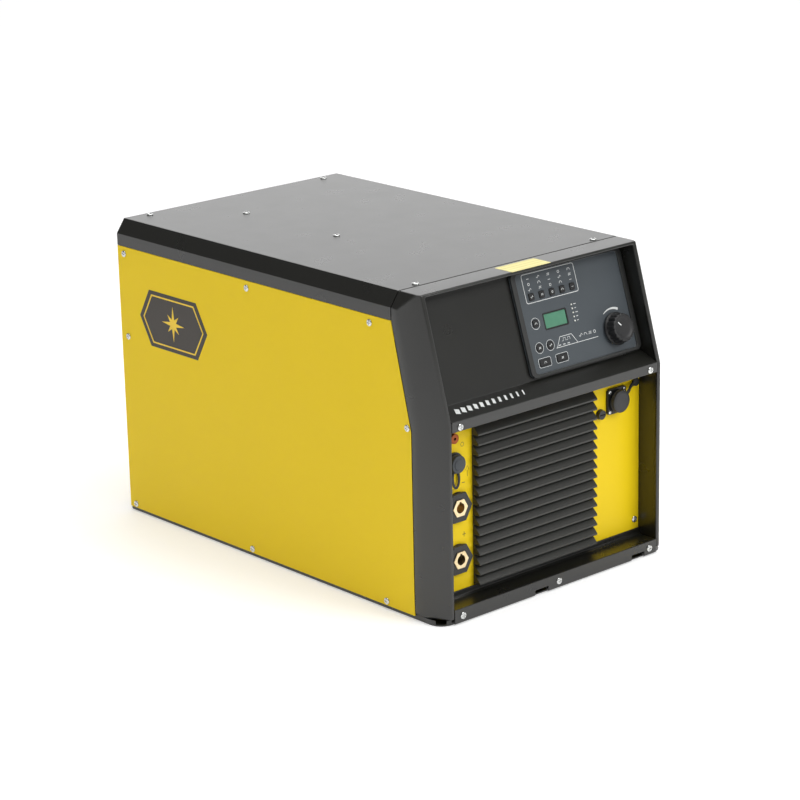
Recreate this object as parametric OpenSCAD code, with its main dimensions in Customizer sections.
// TIG welding power source: a charcoal and yellow sheet steel case with a recessed control panel that
// leans back, a louvred front, two weld current sockets, and a fan-cooled inverter inside.
// Millimetres. X runs across the front, Y from the front to the back, Z up from the floor.
// The origin is the middle of the underside.

/* [Overall] */
// Length from the bezel's front face to the rear edge
body_l = 652; // [560:1:800]
// Width over the side panels
body_w = 416; // [346:1:520]
// Height from the floor to the top cover
body_h = 423; // [352:1:520]

/* [Sheet metal] */
// Thickness of the panels, the cover and the air duct
sheet = 1.5; // [1:0.1:2.5]
// Thickness of the base tray
tray_t = 2; // [1.5:0.1:3]
// Height of the base tray's walls
tray_wall = 24; // [20:1:30]
// Radius of the base tray's front corners, seen from above
tray_corner = 20; // [10:1:28]
// Height of the strip of tray that shows under each side panel
tray_show = 5; // [3:0.5:7]
// Width of the cover's sloping edge
crown_w = 13.6; // [8:0.2:20]
// Height of the cover's sloping edge
crown_drop = 19; // [12:0.5:26]
// Height of the upright lip below the sloping edge
lip_h = 17; // [12:0.5:24]
// Depth of the hidden flanges that panels are screwed to
flange = 20; // [16:1:26]
// How far the rear panel sits inside the rear edge
rear_inset = 3; // [1:0.5:10]

/* [Bezel] */
// Wall thickness of the bezel
bezel_t = 2.5; // [2:0.1:3.5]
// Width of the flat front edge of each cheek
cheek_face = 6; // [4:0.5:9]
// How far each cheek spreads sideways from its front edge
cheek_spread = 16.5; // [8:0.5:22]
// Depth over which each cheek spreads
cheek_run = 32; // [20:1:40]
// Depth of each cheek below the bend of its rear edge
cheek_d = 50.5; // [46:0.5:60]
// Gap under the cheeks
cheek_lift = 8; // [6:0.5:12]
// Height of the upper part that leans back
lean_h = 158; // [150:1:180]
// Angle at which the upper part leans back
lean = 16.2; // [8:0.1:20]
// Drop from the top to the bend of the cheeks' rear edges
bend_drop = 173.5; // [160:0.5:190]
// Depth of the bezel's top, from the front face to the seam
crest_d = 84; // [80:1:100]
// Thickness of the rim over the control recess
rim_t = 4; // [3:0.5:6]

/* [Control recess] */
// Height of the bar between the two recesses
bar_h = 14; // [12:0.5:18]
// How far the bar reaches above the bend of the bezel
bar_over = 3; // [1:0.5:5]
// Depth of the control panel behind the bar's face, at its foot
fascia_d = 31; // [26:0.5:34]
// Rise of the apron from the bar to the control panel
apron_rise = 10; // [6:0.5:14]
// Angle at which the control panel leans back
fascia_lean = 18; // [14:0.5:19]
// Thickness of the control panel's sheet
fascia_t = 2; // [1.5:0.1:3]

/* [Keypad] */
// Width of the keypad inside its border
pad_w = 187; // [182:1:200]
// Height of the keypad inside its border
pad_h = 130; // [126:1:134]
// Width of the keypad's raised border at the sides
pad_border = 8; // [5:0.5:9]
// Width of the raised border at the foot and the head
pad_edge = 4; // [3:0.5:5]
// Thickness of the keypad's plate
pad_t = 2.5; // [2:0.1:4]
// How far the border stands above the plate
pad_rim = 2; // [1:0.2:3]
// Corner radius of the keypad's border
pad_r = 9; // [5:0.5:12]
// Side of the five square mode buttons
square_button = 9; // [7:0.5:11]
// Distance between neighbouring square buttons
square_pitch = 18.5; // [14:0.5:19]
// Radius of the two round buttons
round_button_r = 5.5; // [4:0.25:6.5]
// Length of the two oblong buttons
oblong_button = 19; // [14:0.5:22]
// Width of the display window
display_w = 39; // [30:0.5:42]
// Height of the display window
display_h = 18.5; // [14:0.5:21]
// How far the buttons stand above the plate
button_out = 1.2; // [0.8:0.1:2]
// Travel of the buttons
button_travel = 0.8; // [0.4:0.1:1]
// Radius of the setting knob's skirt
knob_r = 22; // [16:0.5:24]
// How far the setting knob stands off the keypad
knob_h = 17; // [12:0.5:22]
// Radius of the encoder's shaft
shaft_r = 3; // [2:0.5:4]

/* [Front louvres] */
// Height of one louvre
louvre_pitch = 13.35; // [11:0.05:18]
// How far the louvres stand off the front panel
louvre_out = 11; // [7:0.5:14]
// Wall thickness of the louvres
louvre_t = 2; // [1.5:0.1:2.5]
// Width of the socket column to the left of the louvres
left_column = 63.5; // [60:0.5:68]
// Width of the free column to the right of the louvres
right_column = 92.5; // [88:0.5:100]
// Depth of the lower recess, from the front face to the front panel
recess_d = 33; // [31:0.5:36]

/* [Sill] */
// Height of the sill's front face
sill_h = 20; // [18:0.5:26]
// Height of the ledge behind the sill
ledge_h = 9; // [4:0.5:11]
// Width of the two notches in the sill's lower edge
notch_w = 24; // [16:1:28]
// Height of the two notches, from the floor
notch_h = 8; // [5:0.5:9]

/* [Weld current sockets] */
// Radius of each socket's insulating body
socket_r = 20; // [18:0.5:22]
// How far each socket stands off the front panel
socket_out = 6.5; // [6:0.5:14]
// Radius of the bore that takes the cable plug
contact_bore_r = 6.6; // [4.5:0.1:7.5]
// Depth of the bore that takes the cable plug
contact_depth = 26; // [20:1:34]
// Radius of the brass contact
contact_r = 9.5; // [9:0.5:12]

/* [Signal sockets and gas] */
// Side of the remote control socket's square flange
remote_flange = 35; // [30:0.5:40]
// Radius of the remote control socket's cap
remote_cap_r = 15.5; // [13:0.5:17]
// How far the remote control socket's cap stands off the front panel
remote_cap_out = 14; // [12:0.5:24]
// Radius of the torch control socket's cap
torch_cap_r = 12; // [9:0.5:14]
// How far the torch control socket's cap stands off the front panel
torch_cap_out = 12; // [10:0.5:22]
// Radius of the gas couplings' nipples
nipple_r = 6.5; // [4:0.25:8]
// Radius of the fuse holder's cap
fuse_r = 7; // [5:0.5:8]

/* [Rear] */
// Radius of the fan's blades
fan_r = 72; // [60:1:78]
// Depth of the fan's frame
fan_d = 50; // [38:1:60]
// Number of fan blades
fan_blades = 7; // [5:1:9]
// Radius of the mains cable's passage through its gland
cable_r = 8; // [6:0.5:10]
// Radius of the mains switch's knob
switch_r = 21; // [16:0.5:26]

/* [Fasteners] */
// Radius of the case screws' heads
head_r = 4.6; // [3.5:0.1:6]
// Height of the case screws' heads
head_h = 2.2; // [1.5:0.1:3]
// Radius of the case screws' shanks
shank_r = 2.4; // [2:0.1:3]
// Radius of the holes for bolting the case to a trolley
trolley_hole_r = 3.3; // [2.5:0.1:5]
// Distance between the trolley holes across the case
trolley_x = 300; // [200:10:320]
// Distance between the trolley holes along the case
trolley_y = 480; // [400:10:500]

/* [Fits] */
// Gap between parts that are fixed to each other
seam = 0.3; // [0.2:0.1:0.6]
// Gap around parts that slide, such as the buttons and the caps
slide_gap = 0.3; // [0.2:0.05:0.5]
// Radial clearance of the setting knob on its shaft
shaft_gap = 0.05; // [0.02:0.01:0.1]

/* [Hidden] */
$fn = 64;

front = -body_l / 2;
rear = body_l / 2;
half_w = body_w / 2;
far = 2000;

// Case levels and seams
skin = half_w - sheet;
inner_w = skin - seam;
crown_top = half_w - crown_w;
crown_foot = body_h - crown_drop;
lip_foot = crown_foot - lip_h;
under_roof = body_h - sheet - seam;
bend_z = body_h - bend_drop;
knee_z = body_h - lean_h;
recess_w = half_w - cheek_spread - cheek_face;
cheek_front = half_w - cheek_spread;
rear_plane = rear - rear_inset;

// Control panel
bar_top = knee_z + bar_over;
bar_foot = bar_top - bar_h;
foot_z = bar_top + apron_rise;
foot_y = front + fascia_d;
fascia_top = body_h - rim_t - seam;
pad_right = recess_w - pad_border - 1;
pad_left = pad_right - pad_w;
pad_foot = pad_edge + 2.5;
plate_out = fascia_t / 2 + seam;
plate_face = plate_out + pad_t;
board_in = 14;
stem_r = 2;
switch_h = 5;

// Controls, as [offset from the keypad's left edge, offset from its foot]
mode_row = [22.5, 98.5];
meter_spot = [19, 64];
pulse_spots = [[16.5, 32.5], [36, 32.5]];
slope_spots = [[20.5, 13], [51.5, 13]];
display_spot = [36, 54];
lamp_spot = [88.5, 54.5];
lamp_n = 5;
lamp_pitch = 5.4;
knob_spot = [pad_w - 31, 30];

// Lower recess
panel_y = front + recess_d;
ledge_z = sill_h + ledge_h;
grille_left = -recess_w + left_column;
grille_right = recess_w - right_column;
grille_foot = ledge_z + 2;
grille_t = 1.8;
louvre_n = floor((bar_foot - grille_foot - 1) / louvre_pitch);
grille_head = grille_foot + louvre_n * louvre_pitch;
recess_h = bar_foot - ledge_z;
column_x = -recess_w + 36;
socket_z = [ledge_z + 0.19 * recess_h, ledge_z + 0.5 * recess_h];
torch_x = column_x - 4;
torch_z = ledge_z + 0.764 * recess_h;
outlet_x = column_x - 12.5;
outlet_z = ledge_z + 0.925 * recess_h;
remote_x = recess_w - 46.5;
remote_z = bar_foot - 35;
remote_hole_r = 13;
fuse_x = recess_w - 76;
fuse_z = bar_foot - 48.5;
contact_mouth = panel_y - socket_out - 1.5;
contact_back = contact_mouth + contact_depth + 4;
stud_back = contact_back + 18;
hf_front = front + 100;

// Air duct, from the louvres to the fan
duct_left = grille_left + 4;
duct_right = grille_right - 4;
duct_x = (duct_left + duct_right) / 2;
duct_h = 2 * fan_r + 26;
duct_front = front + 80;
fan_frame_w = 2 * fan_r + 14;
fan_z = tray_t + seam + fan_frame_w / 2 + 4;
fan_back = rear_plane - sheet - 8;
fan_front = fan_back - fan_d;
duct_back = fan_front - 4;
duct_in = duct_right - duct_left - 2 * sheet;
ring_pitch = 11;
ring_n = floor((fan_r - 16) / ring_pitch);

// Wound parts in front of the heat sink
core_left = duct_x - 5;
core_front = front + 110;
core_d = 60;
core_top = 112;
core_unit = duct_in / 41;
winding_foot = 27;
winding_head = 88;
winding_over = 13;
coil_r = 7.2 * core_unit;
coil_wire_r = 2.4 * core_unit;

// Rear fittings
switch_x = half_w - 90;
switch_z = body_h - 95;
gland_x = half_w - 62;
gland_z = 74;
inlet_x = -half_w + 60;
inlet_z = 74;
valve_front = rear_plane - 130;
hose_r = 4.5;
hose_x = outlet_x;

// Screw places: [distance from the front, height] on the sides, [x, distance] on the top
side_spots = [
    [body_l - 15, lip_foot - 10], [(body_l + crest_d) / 2, lip_foot - 10], [crest_d + 40, lip_foot - 10],
    [body_l - 16, bend_z + 9], [cheek_d + 7, bend_z + 4],
    [body_l - 14, 11], [body_l / 2 + 50, 11], [cheek_d + 53, 11]
];
crest_screw_x = crown_top - 36;
rail_x = -60;
top_spots = [
    [-crest_screw_x, crest_d + 8], [crest_screw_x, crest_d + 8],
    [-crest_screw_x, body_l - 12], [crest_screw_x, body_l - 12],
    [rail_x, body_l - 103], [rail_x, body_l / 2 + 31]
];
corner_x = recess_w - 14;
bar_screw_z = bar_foot + 5.4;
sill_screw_z = 10;
sill_spots = [[-corner_x, sill_screw_z], [0, sill_screw_z], [corner_x, sill_screw_z]];
bar_spots = [[-corner_x, bar_screw_z], [corner_x, bar_screw_z]];
panel_screw_x = recess_w - 8.5;
panel_spots = [
    [-panel_screw_x, ledge_z + 13], [panel_screw_x, ledge_z + 13],
    [-panel_screw_x, bar_foot - 18], [panel_screw_x, bar_foot - 18]
];
remote_screw = remote_flange / 2 - 4;
rear_spots = [
    [-inner_w + 30, 13], [0, 13], [inner_w - 30, 13]
];
hole_r = shank_r + seam;

// Extrudes a (y, z) outline along X, from x0 to x1.
module along_x(x0, x1) {
    translate([x0, 0, 0])
        rotate([90, 0, 90])
            linear_extrude(x1 - x0)
                children();
}

// Extrudes an (x, z) outline along Y, from y0 to y1.
module along_y(y0, y1) {
    translate([0, y1, 0])
        rotate([90, 0, 0])
            linear_extrude(y1 - y0)
                children();
}

// A block between two opposite corners.
module block(lo, hi) {
    translate(lo)
        cube(hi - lo);
}

// A cylinder along Y, from y0 to y1.
module rod(x, z, r, y0, y1) {
    translate([x, y1, z])
        rotate([90, 0, 0])
            cylinder(r = r, h = y1 - y0);
}

// A six-sided bar along Y; r is the radius of its inscribed circle.
module hex_rod(x, z, r, y0, y1) {
    translate([x, y1, z])
        rotate([90, 0, 0])
            cylinder(r = r / cos(30), h = y1 - y0, $fn = 6);
}

// A flat rectangle with round corners, centred.
module rounded(w, h, r) {
    square([w - 2 * r, h], center = true);
    square([w, h - 2 * r], center = true);
    for (x = [-1, 1], y = [-1, 1])
        translate([x * (w / 2 - r), y * (h / 2 - r)])
            circle(r);
}

// A strip of sheet from p to q in an outline, with round ends for the bends.
module strip(p, q, t) {
    d = q - p;
    translate(p)
        rotate(atan2(d[1], d[0]))
            translate([0, -t / 2])
                square([norm(d), t]);
    translate(p)
        circle(t / 2);
    translate(q)
        circle(t / 2);
}

// Places children on the control panel: X across, Y up the slope, Z out of the panel.
module on_fascia(spot, out = 0) {
    translate([0, foot_y, foot_z])
        rotate([90 - fascia_lean, 0, 0])
            translate([spot[0], spot[1], out])
                children();
}

// The same, measured from the lower left corner of the keypad.
module on_keypad(spot, out = 0) {
    on_fascia([pad_left + spot[0], pad_foot + spot[1]], out)
        children();
}

// The case's cross-section, inset by t all round, down to z0.
module crown(t, z0) {
    side_turn = atan(crown_w / crown_drop);
    top_turn = 90 - side_turn;
    x1 = half_w - t;
    z1 = crown_foot - t * tan(side_turn / 2);
    x2 = crown_top - t * tan(top_turn / 2);
    z2 = body_h - t;
    polygon([[-x1, z0], [-x1, z1], [-x2, z2], [x2, z2], [x1, z1], [x1, z0]]);
}

// The bezel's outline seen from above, inset by t; depths are scaled by k.
module cheek_plan(t, k) {
    turn = atan(cheek_spread / cheek_run);
    x1 = cheek_front - t * tan((90 - turn) / 2);
    x2 = half_w - t;
    y1 = t;
    y2 = cheek_run * k + t * tan(turn / 2);
    polygon([[-x1, y1], [x1, y1], [x2, y2], [x2, far], [-x2, far], [-x2, y2]]);
}

// The bezel's outer form, inset by t: upright below the knee and leaning back above it.
module bezel_form(t) {
    intersection() {
        along_y(front - 1, front + far)
            crown(t, cheek_lift - 1);
        translate([0, front, 0])
            linear_extrude(2 * body_h)
                cheek_plan(t, 1);
        translate([0, front, knee_z])
            rotate([-lean, 0, 0])
                translate([0, 0, -2 * body_h])
                    linear_extrude(4 * body_h)
                        cheek_plan(t, cos(lean));
    }
}

// Side view of everything ahead of the seam; grow moves the seam back.
module seam_side(z0, z1, grow) {
    polygon([
        [front - 1, z0], [front + cheek_d + grow, z0], [front + cheek_d + grow, bend_z],
        [front + crest_d + grow, lip_foot], [front + crest_d + grow, z1], [front - 1, z1]
    ]);
}

// A case screw at the origin whose head points to -Y.
module screw(shank_l) {
    rotate([90, 0, 0])
        difference() {
            union() {
                rotate_extrude()
                    polygon([
                        [0, 0], [head_r, 0], [head_r, head_h * 0.35], [head_r * 0.72, head_h * 0.85],
                        [head_r * 0.35, head_h], [0, head_h]
                    ]);
                translate([0, 0, -shank_l])
                    cylinder(r = shank_r, h = shank_l + 0.1);
            }
            for (a = [0, 90])
                rotate(a)
                    translate([-head_r * 0.55, -0.45, head_h * 0.45])
                        cube([head_r * 1.1, 0.9, head_h]);
        }
}

// Holes through the front's sheets for screws at the given [x, z] spots.
module front_holes(spots, y0, y1) {
    for (s = spots)
        rod(s[0], s[1], hole_r, y0, y1);
}

// Holes for the side screws, through both sides.
module side_holes() {
    for (s = side_spots)
        translate([-body_w, front + s[0], s[1]])
            rotate([0, 90, 0])
                cylinder(r = hole_r, h = 2 * body_w);
}

// Holes for the top screws.
module top_holes() {
    for (s = top_spots)
        translate([s[0], front + s[1], body_h - flange])
            cylinder(r = hole_r, h = 2 * flange);
}

// ---- Case ----

// Floor of the case: a folded tray with a low rim in front, where it runs under the cheeks.
module tray_plan() {
    w = inner_w;
    y0 = front + 4;
    y1 = rear;
    difference() {
        translate([-w, y0])
            square([2 * w, y1 - y0]);
        for (s = [-1, 1])
            translate([s * (w - tray_corner), y0 + tray_corner])
                difference() {
                    translate([s > 0 ? 0 : -tray_corner - 1, -tray_corner - 1])
                        square(tray_corner + 1);
                    circle(tray_corner);
                }
    }
}

module base_tray() {
    wall_in = inner_w - tray_t;
    side_y = front + cheek_d + 3;
    rim_h = cheek_lift - 0.6;
    color("dimgray")
        difference() {
            union() {
                linear_extrude(tray_t)
                    tray_plan();
                difference() {
                    linear_extrude(rim_h)
                        tray_plan();
                    block([-wall_in, front + 4 + tray_t, -1], [wall_in, rear - tray_t, far]);
                    for (s = [-1, 1])
                        translate([s * (inner_w - tray_corner), front + 4 + tray_corner, -1])
                            cylinder(r = tray_corner - tray_t, h = far);
                }
                for (s = [-1, 1])
                    block(
                        [s > 0 ? wall_in : -inner_w, side_y, 0],
                        [s > 0 ? inner_w : -wall_in, rear, tray_wall]
                    );
                block([-wall_in, rear - tray_t, 0], [wall_in, rear, tray_wall]);
                block(
                    [-recess_w + 3, front + 4, 0],
                    [recess_w - 3, front + 4 + tray_t, sill_h - fascia_t - seam]
                );
            }
            for (x = [-1, 1], y = [-1, 1])
                translate([x * trolley_x / 2, y * trolley_y / 2, -1])
                    cylinder(r = trolley_hole_r, h = tray_t + 2);
            side_holes();
            front_holes(sill_spots, front, front + 20);
            sill_notches(front + 3, front + 5 + tray_t, tray_t);
            front_holes(rear_spots, rear - 10, rear + 1);
            for (s = [-1, 1])
                translate([s * inner_w, rear - 58, 5.5])
                    cube([3 * tray_t, 18, 3], center = true);
        }
}

// Rear wall with punched rings for the fan, and side and top flanges that the case screws enter.
module rear_panel() {
    y1 = rear_plane;
    y0 = y1 - sheet;
    edge_w = inner_w - tray_t - seam;
    color("gold")
        difference() {
            union() {
                intersection() {
                    along_y(y0, y1)
                        crown(sheet + seam, tray_t + seam);
                    union() {
                        block([-body_w, y0, tray_wall + seam], [body_w, y1, body_h]);
                        block([-edge_w, y0, 0], [edge_w, y1, tray_wall + 1]);
                    }
                }
                for (s = [-1, 1])
                    block(
                        [s > 0 ? inner_w - sheet : -inner_w, y1 - flange - 4, tray_wall + seam],
                        [s > 0 ? inner_w : -inner_w + sheet, y1, lip_foot + 1]
                    );
                block(
                    [-crown_top + 8, y1 - flange - 4, under_roof - sheet],
                    [crown_top - 8, y1, under_roof]
                );
            }
            side_holes();
            top_holes();
            front_holes(rear_spots, y0 - 1, rear + 1);
            for (k = [1 : ring_n])
                difference() {
                    rod(duct_x, fan_z, 12 + k * ring_pitch, y0 - 1, y1 + 1);
                    rod(duct_x, fan_z, 12 + (k - 1) * ring_pitch + 3.5, y0 - 2, y1 + 2);
                    for (a = [0 : 45 : 135])
                        translate([duct_x, y1, fan_z])
                            rotate([0, a + 22.5, 0])
                                cube([far, 3 * sheet + 9, 5], center = true);
                }
            rod(switch_x, switch_z, 6 + seam, y0 - 1, y1 + 1);
            rod(gland_x, gland_z, cable_r + 4 + seam, y0 - 1, y1 + 1);
            rod(inlet_x, inlet_z, nipple_r + seam, y0 - 1, y1 + 1);
        }
}

// Holes in the front panel and the grille's plate behind each louvre.
module louvre_slots(y0, y1) {
    third = (grille_right - grille_left) / 3;
    for (k = [0 : louvre_n - 1], c = [0 : 2])
        block(
            [grille_left + c * third + 3, y0, grille_foot + k * louvre_pitch + 2],
            [grille_left + (c + 1) * third - 3, y1, grille_foot + (k + 1) * louvre_pitch - 6]
        );
}

// Yellow panel at the back of the lower recess, which carries the sockets.
module front_panel() {
    y0 = panel_y;
    y1 = y0 + sheet;
    w = recess_w - seam;
    color("gold")
        difference() {
            block([-w, y0, tray_t + seam], [w, y1, bar_top]);
            louvre_slots(y0 - 1, y1 + 1);
            for (z = socket_z)
                rod(column_x, z, socket_r - 4 + seam, y0 - 1, y1 + 1);
            rod(torch_x, torch_z, torch_cap_r - 3 + seam, y0 - 1, y1 + 1);
            rod(outlet_x, outlet_z, nipple_r + seam, y0 - 1, y1 + 1);
            rod(remote_x, remote_z, remote_hole_r, y0 - 1, y1 + 1);
            rod(fuse_x, fuse_z, fuse_r - 1.5 + seam, y0 - 1, y1 + 1);
            front_holes(panel_spots, y0 - 1, y1 + 1);
            front_holes(remote_screw_spots(), y0 - 1, y1 + 1);
        }
}

function remote_screw_spots() = [
    for (x = [-1, 1], z = [-1, 1]) [remote_x + x * remote_screw, remote_z + z * remote_screw]
];

// Front frame: two hollow cheeks joined by the rim over the control recess.
module front_bezel() {
    wall_x = recess_w + bezel_t;
    color("dimgray")
        difference() {
            union() {
                intersection() {
                    difference() {
                        bezel_form(0);
                        difference() {
                            bezel_form(bezel_t);
                            block([-wall_x, front - 1, -1], [wall_x, far, far]);
                        }
                    }
                    along_x(-body_w, body_w)
                        seam_side(cheek_lift, body_h + 1, 0);
                }
                intersection() {
                    along_y(front + crest_d - 3, front + crest_d + flange)
                        difference() {
                            crown(sheet + seam, lip_foot + 6);
                            crown(sheet + seam + 2, lip_foot);
                        }
                    block([-body_w, front, lip_foot + 6], [body_w, rear, body_h]);
                }
                for (s = [-1, 1])
                    intersection() {
                        block(
                            [s > 0 ? inner_w - 2 : -inner_w, front, tray_wall + 2],
                            [s > 0 ? inner_w : -inner_w + 2, rear, lip_foot - flange - 4]
                        );
                        along_x(-body_w, body_w)
                            difference() {
                                seam_side(0, body_h, flange - 5);
                                seam_side(-1, body_h + 1, -3);
                            }
                    }
            }
            difference() {
                block([-recess_w, front - 1, -1], [recess_w, front + crest_d + 1, body_h - rim_t]);
                for (s = [-1, 1]) {
                    tab_x = s * (recess_w - 13);
                    translate([tab_x, front + fascia_t + 1.9, (bar_foot + bar_top) / 2])
                        cube([27, 2.5, bar_h - 2 * fascia_t - 2 * seam], center = true);
                    translate([tab_x, front + 9, sill_screw_z + 2])
                        cube([27, 2.5, 11], center = true);
                    for (z = [panel_spots[0][1], panel_spots[2][1]])
                        translate([s * (recess_w - 6.5), panel_y + sheet + 1.8, z])
                            cube([14, 2.5, 16], center = true);
                }
            }
            side_holes();
            top_holes();
            front_holes(concat(sill_spots, bar_spots, panel_spots), front + 1, panel_y + 10);
        }
}

// Control panel sheet: bar, apron and the panel that leans back, folded from one sheet.
module control_fascia() {
    t = fascia_t;
    w = recess_w - seam;
    y0 = front + t / 2;
    z0 = bar_foot + t / 2;
    z1 = bar_top - t / 2;
    top_y = foot_y + (fascia_top - t / 2 - foot_z) * tan(fascia_lean);
    color("dimgray")
        difference() {
            along_x(-w, w) {
                strip([front + recess_d - seam - t / 2, z0], [y0, z0], t);
                strip([y0, z0], [y0, z1], t);
                strip([y0, z1], [foot_y, foot_z], t);
                strip([foot_y, foot_z], [top_y, fascia_top - t / 2], t);
                strip([top_y, fascia_top - t / 2], [front + crest_d + flange - 4, fascia_top - t / 2], t);
            }
            front_holes(bar_spots, front - 1, front + 8);
            for (b = button_list())
                on_keypad(b, -5)
                    cylinder(r = stem_r + 2 * slide_gap, h = 10);
            on_keypad([display_spot[0] + display_w / 2, display_spot[1] + display_h / 2], -5)
                linear_extrude(10)
                    square([display_w - 4, display_h - 4], center = true);
            for (k = [0 : lamp_n - 1])
                on_keypad([lamp_spot[0], lamp_spot[1] + k * lamp_pitch], -5)
                    cylinder(r = 1.4, h = 10);
            on_keypad(knob_spot, -5)
                cylinder(r = shaft_r + 1.5 + seam, h = 10);
            translate([0, front + crest_d + 8, 0])
                for (s = [-1, 1])
                    translate([s * crest_screw_x, 0, fascia_top - 5])
                        cylinder(r = 2 * hole_r, h = 10);
        }
}

// Two notches in the lower edge of the sill and of the tray wall behind it.
module sill_notches(y0, y1, z0) {
    for (x = [-31, 0.81 * recess_w])
        block([x - notch_w / 2, y0, z0], [x + notch_w / 2, y1, notch_h]);
}

// Sill under the lower recess: front face, shelf and the ledge that the front panel stands behind.
module front_sill() {
    w = recess_w - seam;
    t = fascia_t;
    y0 = front + t / 2;
    z1 = sill_h - t / 2;
    y2 = panel_y - seam - t / 2;
    color("dimgray")
        difference() {
            along_x(-w, w) {
                strip([y0, 1 + t / 2], [y0, z1], t);
                strip([y0, z1], [y2 - 4, z1], t);
                strip([y2 - 4, z1], [y2, z1 + 3], t);
                strip([y2, z1 + 3], [y2, ledge_z - t / 2], t);
            }
            front_holes(sill_spots, front - 1, front + 4);
            sill_notches(front - 1, front + 3, 0);
        }
}

// Charcoal cover: roof, two sloping edges and two upright lips, with inner flanges behind the sides.
module top_cover() {
    y0 = front + crest_d + seam;
    color("dimgray")
        difference() {
            union() {
                along_y(y0, rear)
                    difference() {
                        crown(0, lip_foot + seam);
                        crown(sheet, 0);
                    }
                for (s = [-1, 1]) {
                    block(
                        [s > 0 ? inner_w - sheet : -half_w, y0, lip_foot + seam],
                        [s > 0 ? half_w : -inner_w + sheet, rear - flange - 12, lip_foot + seam + sheet]
                    );
                    block(
                        [s > 0 ? inner_w - sheet : -inner_w, y0, lip_foot - flange],
                        [s > 0 ? inner_w : -inner_w + sheet, rear - flange - 12, lip_foot + seam + sheet]
                    );
                }
            }
            side_holes();
            top_holes();
        }
}

module side_panel(side) {
    y0 = front + cheek_d + seam;
    y1 = front + crest_d + seam;
    x = side > 0 ? skin : -half_w;
    color("gold")
        difference() {
            along_x(x, x + sheet)
                polygon([[y0, tray_show], [y0, bend_z], [y1, lip_foot], [rear, lip_foot], [rear, tray_show]]);
            side_holes();
        }
}

module side_panel_left() {
    side_panel(-1);
}

module side_panel_right() {
    side_panel(1);
}

// Channel under the roof that carries the cover between the bezel and the rear panel.
module roof_rail() {
    y0 = front + crest_d + flange + 4;
    y1 = rear_plane - flange - 6;
    w = 16;
    color("silver")
        difference() {
            block([rail_x - w, y0, under_roof - 20], [rail_x + w, y1, under_roof]);
            block(
                [rail_x - w + sheet, y0 - 1, under_roof - 21],
                [rail_x + w - sheet, y1 + 1, under_roof - sheet]
            );
            top_holes();
        }
}

// ---- Fasteners ----

module side_screws() {
    color("silver")
        for (s = side_spots, side = [-1, 1])
            translate([side * half_w, front + s[0], s[1]])
                rotate([0, 0, side * 90])
                    screw(8);
}

module top_screws() {
    color("silver")
        for (s = top_spots)
            translate([s[0], front + s[1], body_h])
                rotate([-90, 0, 0])
                    screw(8);
}

// Screws of the sill, the bar, the front panel and the remote socket's flange.
module front_screws() {
    color("silver") {
        for (s = concat(sill_spots, bar_spots))
            translate([s[0], front, s[1]])
                screw(12);
        for (s = panel_spots)
            translate([s[0], panel_y, s[1]])
                screw(8);
        for (s = remote_screw_spots())
            translate([s[0], panel_y - 4, s[1]])
                scale(0.6)
                    screw(11);
    }
}

module rear_screws() {
    color("silver")
        for (s = rear_spots)
            translate([s[0], rear, s[1]])
                rotate([0, 0, 180])
                    screw(10);
}

// ---- Control panel ----

// Every button's place, in the order of the button nodes.
function button_list() = concat(
    [for (k = [0 : 4]) mode_row + [k * square_pitch, 0]],
    [meter_spot], pulse_spots, slope_spots
);

// Moulded keypad: a plate with the buttons' openings inside a raised border.
module keypad_frame() {
    outer_w = pad_w + 2 * pad_border;
    outer_h = pad_h + 2 * pad_edge;
    color("dimgray")
        difference() {
            on_keypad([pad_w / 2, pad_h / 2], plate_out)
                difference() {
                    linear_extrude(pad_t + pad_rim)
                        rounded(outer_w, outer_h, pad_r);
                    translate([0, 0, pad_t])
                        linear_extrude(pad_t + pad_rim)
                            rounded(pad_w, pad_h, pad_r - 4);
                }
            for (k = [0 : len(button_list()) - 1])
                on_keypad(button_list()[k], plate_out - 1)
                    linear_extrude(pad_t + 2)
                        button_shape(k, slide_gap);
            on_keypad([display_spot[0] + display_w / 2, display_spot[1] + display_h / 2], plate_out - 1)
                linear_extrude(pad_t + 2)
                    square([display_w + 2 * seam, display_h + 2 * seam], center = true);
            for (k = [0 : lamp_n - 1])
                on_keypad([lamp_spot[0], lamp_spot[1] + k * lamp_pitch], plate_out - 1)
                    cylinder(r = 1.4, h = pad_t + 2);
            on_keypad(knob_spot, plate_out - 1)
                cylinder(r = shaft_r + 1.5 + seam, h = pad_t + 2);
        }
}

// Outline of button number k: five square, two round pairs and two oblong ones; grow is its clearance.
module button_shape(k, grow) {
    if (k < 6)
        rounded(square_button + 2 * grow, square_button + 2 * grow, 1.5);
    else if (k < 8)
        circle(round_button_r + grow);
    else
        rounded(oblong_button + 2 * grow, square_button + 2 * grow, 1.5);
}

// A key cap with a stem that reaches through the panel to its switch on the board.
module push_button(k) {
    stem_foot = -board_in + switch_h + button_travel + 0.4;
    color("black")
        on_keypad(button_list()[k]) {
            translate([0, 0, plate_out + button_travel + 0.3])
                linear_extrude(pad_t - button_travel - 0.3 + button_out)
                    button_shape(k, 0);
            translate([0, 0, stem_foot])
                cylinder(r = stem_r, h = plate_face - stem_foot);
        }
}

module display_window() {
    color("mediumseagreen")
        on_keypad(display_spot, plate_out + 0.2)
            cube([display_w, display_h, pad_t - 0.8]);
}

// Circuit board behind the keypad, with a switch under each button.
module control_board() {
    color("darkgreen")
        on_keypad([4, 4], -board_in - 1.6)
            difference() {
                union() {
                    cube([pad_w - 8, pad_h - 8, 1.6]);
                    for (b = button_list())
                        translate([b[0] - 7, b[1] - 7, 1.5])
                            cube([6, 6, switch_h + 0.1]);
                }
                translate([knob_spot[0] - 4, knob_spot[1] - 4, -1])
                    cylinder(r = 8, h = 5);
            }
}

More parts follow.
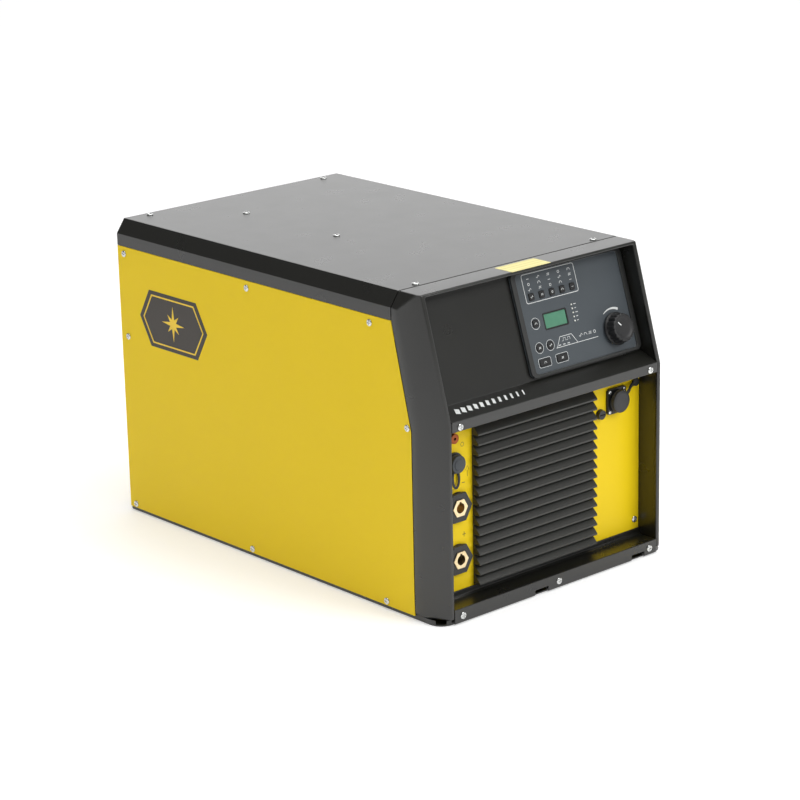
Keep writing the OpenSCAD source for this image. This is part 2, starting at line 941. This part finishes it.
module status_lamps() {
    color("white")
        for (k = [0 : lamp_n - 1])
            on_keypad([lamp_spot[0], lamp_spot[1] + k * lamp_pitch], -2) {
                cylinder(r = 1.1, h = 2 + plate_face + 0.2);
                translate([0, 0, -3])
                    cylinder(r = 1.6, h = 3.5);
            }
}

// Rotary encoder: its body sits behind the panel and its shaft carries the knob.
module encoder() {
    color("silver")
        on_keypad(knob_spot) {
            translate([-6.5, -6.5, -8])
                cube([13, 13, 6.5]);
            translate([0, 0, -2])
                cylinder(r = shaft_r + 1.5, h = 2 + plate_face + 1.5);
            cylinder(r = shaft_r, h = plate_face + knob_h - 4);
        }
}

// Setting knob: a skirt, a fluted grip and a dished cap.
module control_knob() {
    foot = plate_face + 2;
    h = knob_h - 2;
    grip_r = knob_r - 2.5;
    flutes = 18;
    color([0.12, 0.12, 0.13])
        on_keypad(knob_spot, foot)
            difference() {
                rotate_extrude()
                    polygon([
                        [0, 0], [knob_r, 0], [knob_r, 2], [grip_r + 0.5, 3.5], [grip_r - 0.5, h - 1.5],
                        [grip_r - 2, h], [grip_r - 5, h], [grip_r - 7, h - 1], [0, h - 1]
                    ]);
                translate([0, 0, -1])
                    cylinder(r = shaft_r + shaft_gap, h = h - 2);
                for (k = [0 : flutes - 1])
                    rotate(k * 360 / flutes)
                        translate([grip_r + 1.6, 0, 4])
                            cylinder(r = 2.2, h = h, $fn = 24);
            }
}

module mode_button_1() {
    push_button(0);
}

module mode_button_2() {
    push_button(1);
}

module mode_button_3() {
    push_button(2);
}

module mode_button_4() {
    push_button(3);
}

module mode_button_5() {
    push_button(4);
}

module meter_button() {
    push_button(5);
}

module pulse_button_left() {
    push_button(6);
}

module pulse_button_right() {
    push_button(7);
}

module slope_button_left() {
    push_button(8);
}

module slope_button_right() {
    push_button(9);
}

// ---- Lower front ----

// One louvre: a sheet that slopes outwards and ends in a short upright nose.
module louvre_outline(y, z, t) {
    out = y - louvre_out;
    top = z + louvre_pitch;
    polygon([
        [y, top], [out, z + 2.5], [out, z], [out + t, z], [out + t, z + 2.5 - t / 2], [y, top - t * 1.3]
    ]);
}

module front_grille() {
    y1 = panel_y - seam;
    y0 = y1 - grille_t;
    gusset = 2;
    color([0.16, 0.16, 0.15])
        difference() {
            union() {
                block([grille_left, y0, grille_foot - 1], [grille_right, y1, grille_head + 1]);
                along_x(grille_left, grille_right)
                    for (k = [0 : louvre_n - 1])
                        louvre_outline(y0 + 0.5, grille_foot + k * louvre_pitch, louvre_t);
                for (x = [grille_left, grille_right - gusset])
                    along_x(x, x + gusset)
                        for (k = [0 : louvre_n - 1])
                            louvre_outline(y0 + 0.5, grille_foot + k * louvre_pitch, louvre_out);
            }
            louvre_slots(y0 - 0.6, y1 + 1);
        }
}

// Insulating body of a weld current socket: a six-sided collar, a sleeve and its nut.
module weld_socket(z) {
    color([0.1, 0.1, 0.1])
        difference() {
            union() {
                rod(column_x, z, socket_r, panel_y - 3, panel_y - seam);
                hex_rod(column_x, z, socket_r * 0.95, panel_y - socket_out, panel_y - 2.9);
                rod(column_x, z, socket_r - 4, panel_y - 2, panel_y + 14);
                rod(column_x, z, socket_r - 1, panel_y + sheet + seam, panel_y + 8);
            }
            rod(column_x, z, contact_r + seam, front, panel_y + 20);
        }
}

// Brass contact of a weld current socket: plug bore, key slot and the stud for the busbar.
module weld_contact(z) {
    color("goldenrod")
        difference() {
            union() {
                hex_rod(column_x, z, contact_r + 1.5, contact_mouth, panel_y - socket_out - 0.1);
                rod(column_x, z, contact_r, panel_y - socket_out - 0.2, contact_back);
                rod(column_x, z, 5, contact_back - 1, stud_back);
            }
            rod(column_x, z, contact_bore_r, contact_mouth - 1, contact_mouth + contact_depth);
            block(
                [column_x - 1.75, contact_mouth - 1, z],
                [column_x + 1.75, contact_mouth + 8, z + contact_bore_r + 1.8]
            );
        }
}

module weld_socket_lower() {
    weld_socket(socket_z[0]);
}

module weld_socket_upper() {
    weld_socket(socket_z[1]);
}

module weld_contact_lower() {
    weld_contact(socket_z[0]);
}

module weld_contact_upper() {
    weld_contact(socket_z[1]);
}

// Multi-pole torch control socket, with its contact insert.
module torch_socket() {
    shell_r = torch_cap_r - 2;
    pin_tip = panel_y - torch_cap_out + 6;
    color([0.15, 0.15, 0.15])
        difference() {
            union() {
                rod(torch_x, torch_z, torch_cap_r + 2, panel_y - 3, panel_y - seam);
                rod(torch_x, torch_z, shell_r - slide_gap, panel_y - torch_cap_out + 5, panel_y - 2.9);
                rod(torch_x, torch_z, shell_r - 1, panel_y - 3, panel_y + 16);
                rod(torch_x, torch_z, shell_r + 2, panel_y + sheet + seam, panel_y + 6);
            }
            difference() {
                rod(torch_x, torch_z, shell_r - 2, panel_y - torch_cap_out, panel_y - 3);
                for (a = [0 : 72 : 288])
                    rod(torch_x + 4.5 * cos(a), torch_z + 4.5 * sin(a), 1, pin_tip, panel_y);
            }
        }
}

module torch_socket_cap() {
    face_y = panel_y - torch_cap_out;
    color([0.17, 0.18, 0.2])
        difference() {
            union() {
                rod(torch_x, torch_z, torch_cap_r, face_y + 1, panel_y - 3.4);
                rod(torch_x, torch_z, torch_cap_r - 4, face_y, face_y + 2);
            }
            rod(torch_x, torch_z, torch_cap_r - 2, face_y + 4, panel_y);
        }
}

// Shielding gas coupling for the torch: a nut, a grooved nipple and a tail for the inner hose.
module gas_outlet() {
    color("peru")
        difference() {
            union() {
                hex_rod(outlet_x, outlet_z, nipple_r + 2, panel_y - 6, panel_y - seam);
                rod(outlet_x, outlet_z, nipple_r, panel_y - 13, panel_y + 10);
                rod(outlet_x, outlet_z, nipple_r + 2, panel_y + sheet + seam, panel_y + 6);
                rod(outlet_x, outlet_z, hose_r - 1.5, panel_y + 9, panel_y + 22);
            }
            rod(outlet_x, outlet_z, 1.8, panel_y - 14, panel_y + 23);
            difference() {
                rod(outlet_x, outlet_z, nipple_r + 1, panel_y - 11, panel_y - 9.5);
                rod(outlet_x, outlet_z, nipple_r - 1, panel_y - 12, panel_y - 9);
            }
        }
}

// Remote control socket: square flange, collar and pins.
module remote_socket() {
    collar_r = remote_cap_r - 2 - slide_gap;
    shell_r = remote_hole_r - seam;
    pin_tip = panel_y - remote_cap_out + 6;
    color([0.1, 0.1, 0.1])
        difference() {
            union() {
                along_y(panel_y - 4, panel_y - seam)
                    translate([remote_x, remote_z])
                        rounded(remote_flange, remote_flange, 4);
                rod(remote_x, remote_z, collar_r, panel_y - remote_cap_out + 5, panel_y - 3.9);
                rod(remote_x, remote_z, shell_r, panel_y - 2, panel_y + 18);
            }
            difference() {
                rod(remote_x, remote_z, collar_r - 2, panel_y - remote_cap_out, panel_y - 3);
                for (a = [0 : 60 : 300])
                    rod(remote_x + 7 * cos(a), remote_z + 7 * sin(a), 1.2, pin_tip, panel_y);
            }
            front_holes(remote_screw_spots(), panel_y - 5, panel_y);
        }
}

module remote_socket_cap() {
    face_y = panel_y - remote_cap_out;
    color([0.17, 0.17, 0.18])
        difference() {
            union() {
                rod(remote_x, remote_z, remote_cap_r, face_y + 1, panel_y - 4.6 - head_h);
                rod(remote_x, remote_z, remote_cap_r - 2, face_y, face_y + 2);
            }
            rod(remote_x, remote_z, remote_cap_r - 2, face_y + 4, panel_y);
        }
}

module fuse_holder() {
    color([0.1, 0.1, 0.1])
        difference() {
            union() {
                rod(fuse_x, fuse_z, fuse_r, panel_y - 2, panel_y - seam);
                rod(fuse_x, fuse_z, fuse_r - 1.5, panel_y - 1, panel_y + 30);
                rod(fuse_x, fuse_z, fuse_r + 2, panel_y + sheet + seam, panel_y + 5);
            }
            rod(fuse_x, fuse_z, fuse_r - 3, panel_y - 3, panel_y + 26);
        }
}

// Bayonet cap of the fuse holder, with a slot for a screwdriver.
module fuse_cap() {
    color([0.1, 0.1, 0.1])
        difference() {
            union() {
                rod(fuse_x, fuse_z, fuse_r - 0.5, panel_y - 6, panel_y - 2 - slide_gap);
                rod(fuse_x, fuse_z, fuse_r - 3 - slide_gap, panel_y - 3, panel_y + 20);
            }
            translate([fuse_x, panel_y - 6, fuse_z])
                cube([2 * fuse_r - 4, 3, 1.4], center = true);
        }
}

// ---- Rear fittings ----

// Square fan frame with the motor on three arms.
module fan_frame() {
    bolt = fan_frame_w / 2 - 8;
    color([0.15, 0.15, 0.15])
        difference() {
            union() {
                difference() {
                    along_y(fan_front, fan_back)
                        translate([duct_x, fan_z])
                            rounded(fan_frame_w, fan_frame_w, 8);
                    rod(duct_x, fan_z, fan_r + 3, fan_front - 1, fan_back + 1);
                }
                rod(duct_x, fan_z, 20, fan_front + 0.5, fan_front + 5);
                rod(duct_x, fan_z, 2.5, fan_front + 4, fan_back - 9);
                for (a = [0, 120, 240])
                    translate([duct_x, fan_front + 2.5, fan_z])
                        rotate([0, a + 10, 0])
                            translate([0, 0, (fan_r + 6) / 2])
                                cube([6, 3.6, fan_r + 6], center = true);
            }
            for (x = [-1, 1], z = [-1, 1])
                rod(duct_x + x * bolt, fan_z + z * bolt, 2.4, fan_front - 1, fan_back + 1);
        }
}

// Fan rotor: hub and pitched blades.
module fan_rotor() {
    y0 = fan_front + 6;
    y1 = fan_back - 3;
    color([0.2, 0.2, 0.2])
        difference() {
            union() {
                rod(duct_x, fan_z, 28, y0, y1);
                for (k = [0 : fan_blades - 1])
                    translate([duct_x, (y0 + y1) / 2, fan_z])
                        rotate([0, k * 360 / fan_blades, 0])
                            translate([0, 0, (fan_r + 24) / 2])
                                rotate([0, 0, 35])
                                    cube([2.5, 0.8 * (y1 - y0), fan_r - 24], center = true);
            }
            rod(duct_x, fan_z, 2.5 + shaft_gap, y0 - 1, y1 - 4);
        }
}

module mains_switch() {
    color([0.1, 0.1, 0.1]) {
        difference() {
            rod(switch_x, switch_z, switch_r + 7, rear_plane + seam, rear_plane + 5);
            rod(switch_x, switch_z, 5.5, rear_plane, rear_plane + 6);
        }
        difference() {
            block(
                [switch_x - 24, rear_plane - 62, switch_z - 24],
                [switch_x + 24, rear_plane - sheet - seam, switch_z + 24]
            );
            rod(switch_x, switch_z, 5.5, rear_plane - 20, rear_plane);
        }
    }
}

// Turning handle of the mains switch: a dial with a raised grip bar and its spindle.
module mains_switch_knob() {
    y0 = rear_plane + 5 + slide_gap;
    color([0.12, 0.12, 0.12]) {
        rod(switch_x, switch_z, switch_r, y0, y0 + 6);
        rod(switch_x, switch_z, 5, rear_plane - 18, y0 + 1);
        intersection() {
            rod(switch_x, switch_z, switch_r - 1, y0 + 5, y0 + 22);
            block([switch_x - 5, y0 + 5, switch_z - far], [switch_x + 5, y0 + 22, switch_z + far]);
        }
    }
}

// Cable gland for the mains cable: body, lock nut and domed nut.
module mains_gland() {
    grip_r = cable_r + 8;
    color([0.2, 0.2, 0.2])
        difference() {
            union() {
                hex_rod(gland_x, gland_z, grip_r, rear_plane + seam, rear_plane + 8);
                hex_rod(gland_x, gland_z, grip_r - 1, rear_plane + 9, rear_plane + 20);
                rod(gland_x, gland_z, cable_r + 5, rear_plane + 7, rear_plane + 26);
                rod(gland_x, gland_z, cable_r + 4, rear_plane - 14, rear_plane + 8);
                hex_rod(gland_x, gland_z, grip_r, rear_plane - sheet - seam - 6, rear_plane - sheet - seam);
            }
            rod(gland_x, gland_z, cable_r, rear_plane - 15, rear_plane + 27);
        }
}

// Coupling for the gas supply hose.
module gas_inlet() {
    nut_y = rear_plane - sheet - seam;
    color("peru")
        difference() {
            union() {
                hex_rod(inlet_x, inlet_z, nipple_r + 2.5, rear_plane + seam, rear_plane + 8);
                rod(inlet_x, inlet_z, nipple_r, rear_plane - 12, rear_plane + 24);
                rod(inlet_x, inlet_z, nipple_r + 2.5, nut_y - 5, nut_y);
                rod(inlet_x, inlet_z, hose_r - 1.5, rear_plane - 30, rear_plane - 11);
            }
            rod(inlet_x, inlet_z, 1.8, rear_plane - 31, rear_plane + 25);
        }
}

// ---- Inside ----

// Inverted channel that leads the fan's air over the power parts to the louvres.
module air_duct() {
    color("silver")
        difference() {
            block([duct_left, duct_front, tray_t + seam], [duct_right, duct_back, duct_h]);
            block(
                [duct_left + sheet, duct_front - 1, 0],
                [duct_right - sheet, duct_back + 1, duct_h - sheet]
            );
        }
}

// Extruded heat sink: two feet, a base and fins that hang into the air stream.
module heat_sink() {
    x0 = duct_left + 8;
    x1 = duct_right - 8;
    base_z = 100;
    fin_n = 12;
    pitch = (x1 - x0 - 3) / (fin_n - 1);
    color("lightgray")
        along_y(front + 230, duct_back - 60) {
            translate([x0, base_z])
                square([x1 - x0, 10]);
            for (k = [0 : fin_n - 1])
                translate([x0 + k * pitch, k == 0 || k == fin_n - 1 ? tray_t + seam : 30])
                    square([3, base_z + 1 - (k == 0 || k == fin_n - 1 ? tray_t + seam : 30)]);
        }
}

// Power circuit board on its transistor modules.
module power_board() {
    x0 = duct_left + 14;
    x1 = duct_right - 14;
    y0 = front + 240;
    y1 = duct_back - 70;
    module_l = (y1 - y0) / 4;
    color("darkgreen") {
        block([x0, y0, 128], [x1, y1, 130]);
        for (k = [0 : 2], x = [x0 + 12, x1 - 12 - 50]) {
            y = y0 + 8 + k * (module_l + 8);
            block([x, y, 110 + seam], [x + 50, y + module_l, 128.1]);
        }
    }
}

module bus_capacitors() {
    y0 = front + 275;
    y1 = duct_back - 105;
    can_h = duct_h - sheet - 130 - seam - 6;
    color("navy")
        for (k = [0 : 3])
            translate([k % 2 == 0 ? duct_x - 35 : duct_x + 35, y0 + (k < 2 ? 0 : 1) * (y1 - y0), 130 + seam])
                cylinder(r = 17, h = min(can_h, 60));
}

// Laminated core of the main transformer: three limbs with a window on each side of the middle one.
module main_transformer() {
    color([0.3, 0.3, 0.32])
        difference() {
            block(
                [core_left, core_front, tray_t + seam],
                [core_left + 18 * core_unit, core_front + core_d, core_top]
            );
            for (k = [4, 11])
                block(
                    [core_left + k * core_unit, core_front - 1, winding_foot - 2],
                    [core_left + (k + 3) * core_unit, core_front + core_d + 1, winding_head + 2]
                );
        }
}

// Winding round the core's middle limb.
module transformer_winding() {
    color("darkorange")
        difference() {
            block(
                [core_left + 4 * core_unit + 1, core_front - winding_over, winding_foot],
                [core_left + 14 * core_unit - 1, core_front + core_d + winding_over, winding_head]
            );
            block(
                [core_left + 7 * core_unit - seam, core_front - seam, winding_foot - 1],
                [core_left + 11 * core_unit + seam, core_front + core_d + seam, winding_head + 1]
            );
        }
}

// Output inductor: a wound ring on the floor of the duct.
module output_inductor() {
    color("darkorange")
        translate([duct_left + sheet + 7.5 + coil_r, core_front + 40, tray_t + seam + coil_wire_r])
            rotate_extrude()
                translate([coil_r - coil_wire_r, 0])
                    circle(coil_wire_r);
}

// Ignition unit beside the duct, behind the weld current sockets.
module hf_unit() {
    x0 = -inner_w + 10;
    x1 = duct_left - 8;
    color([0.25, 0.25, 0.28])
        block([x0, hf_front, tray_t + seam], [x1, hf_front + 80, socket_z[1] + 18]);
}

// Solenoid valve of the shielding gas: body, coil, bracket and two tails for the hose.
module gas_valve() {
    y0 = valve_front;
    color("peru")
        difference() {
            union() {
                block([inlet_x - 12, y0, inlet_z - 10], [inlet_x + 12, y0 + 50, inlet_z + 10]);
                rod(inlet_x, inlet_z, hose_r - 1.5, y0 - 15, y0 + 1);
                rod(inlet_x, inlet_z, hose_r - 1.5, y0 + 49, y0 + 65);
                translate([inlet_x, y0 + 25, inlet_z + 9])
                    cylinder(r = 14, h = 36);
                block([inlet_x - 8, y0 + 20, tray_t + seam], [inlet_x + 8, y0 + 23, inlet_z - 9]);
            }
            rod(inlet_x, inlet_z, 1.8, y0 - 16, y0 + 8);
            rod(inlet_x, inlet_z, 1.8, y0 + 42, y0 + 66);
        }
}

// A straight run of hose between two points, with an elbow fitting at the second.
module hose_run(p, q) {
    d = q - p;
    translate(p)
        rotate([0, acos(d[2] / norm(d)), atan2(d[1], d[0])])
            cylinder(r = hose_r, h = norm(d));
    translate(q)
        sphere(hose_r + 1.5);
}

// Gas hose from the inlet to the valve, and from the valve along the side to the outlet.
module gas_hose() {
    bend_y = front + 86;
    rise_y = valve_front - 40;
    tail_y = rear_plane - 14;
    color([0.15, 0.15, 0.15])
        difference() {
            union() {
                rod(inlet_x, inlet_z, hose_r, valve_front + 52, tail_y);
                rod(inlet_x, inlet_z, hose_r, rise_y, valve_front - 2);
                hose_run([inlet_x, rise_y, inlet_z], [inlet_x, rise_y, outlet_z]);
                hose_run([inlet_x, rise_y, outlet_z], [hose_x, bend_y, outlet_z]);
                translate([inlet_x, rise_y, inlet_z])
                    sphere(hose_r + 1.5);
                rod(hose_x, outlet_z, hose_r, panel_y + 11, bend_y);
            }
            rod(inlet_x, inlet_z, hose_r - 1.4, valve_front - 20, tail_y + 1);
            rod(hose_x, outlet_z, hose_r - 1.4, panel_y + 10, panel_y + 26);
        }
}

// Copper bars from the sockets' studs back to the ignition unit.
module busbars() {
    y0 = contact_back + 2;
    color("peru")
        for (z = socket_z)
            difference() {
                union() {
                    block([column_x - 12, y0, z - 10], [column_x + 10, y0 + 3, z + 10]);
                    block([column_x - 12, y0, z - 10], [column_x - 9, hf_front - seam, z + 10]);
                }
                rod(column_x, z, 5 + seam, y0 - 1, y0 + 4);
            }
}

base_tray();
rear_panel();
front_panel();
front_bezel();
control_fascia();
front_sill();
top_cover();
side_panel_left();
side_panel_right();
roof_rail();
side_screws();
top_screws();
front_screws();
rear_screws();
keypad_frame();
display_window();
control_board();
status_lamps();
encoder();
control_knob();
mode_button_1();
mode_button_2();
mode_button_3();
mode_button_4();
mode_button_5();
meter_button();
pulse_button_left();
pulse_button_right();
slope_button_left();
slope_button_right();
front_grille();
weld_socket_upper();
weld_socket_lower();
weld_contact_upper();
weld_contact_lower();
torch_socket();
torch_socket_cap();
gas_outlet();
remote_socket();
remote_socket_cap();
fuse_holder();
fuse_cap();
fan_frame();
fan_rotor();
mains_switch();
mains_switch_knob();
mains_gland();
gas_inlet();
air_duct();
heat_sink();
power_board();
bus_capacitors();
main_transformer();
transformer_winding();
output_inductor();
hf_unit();
gas_valve();
gas_hose();
busbars();
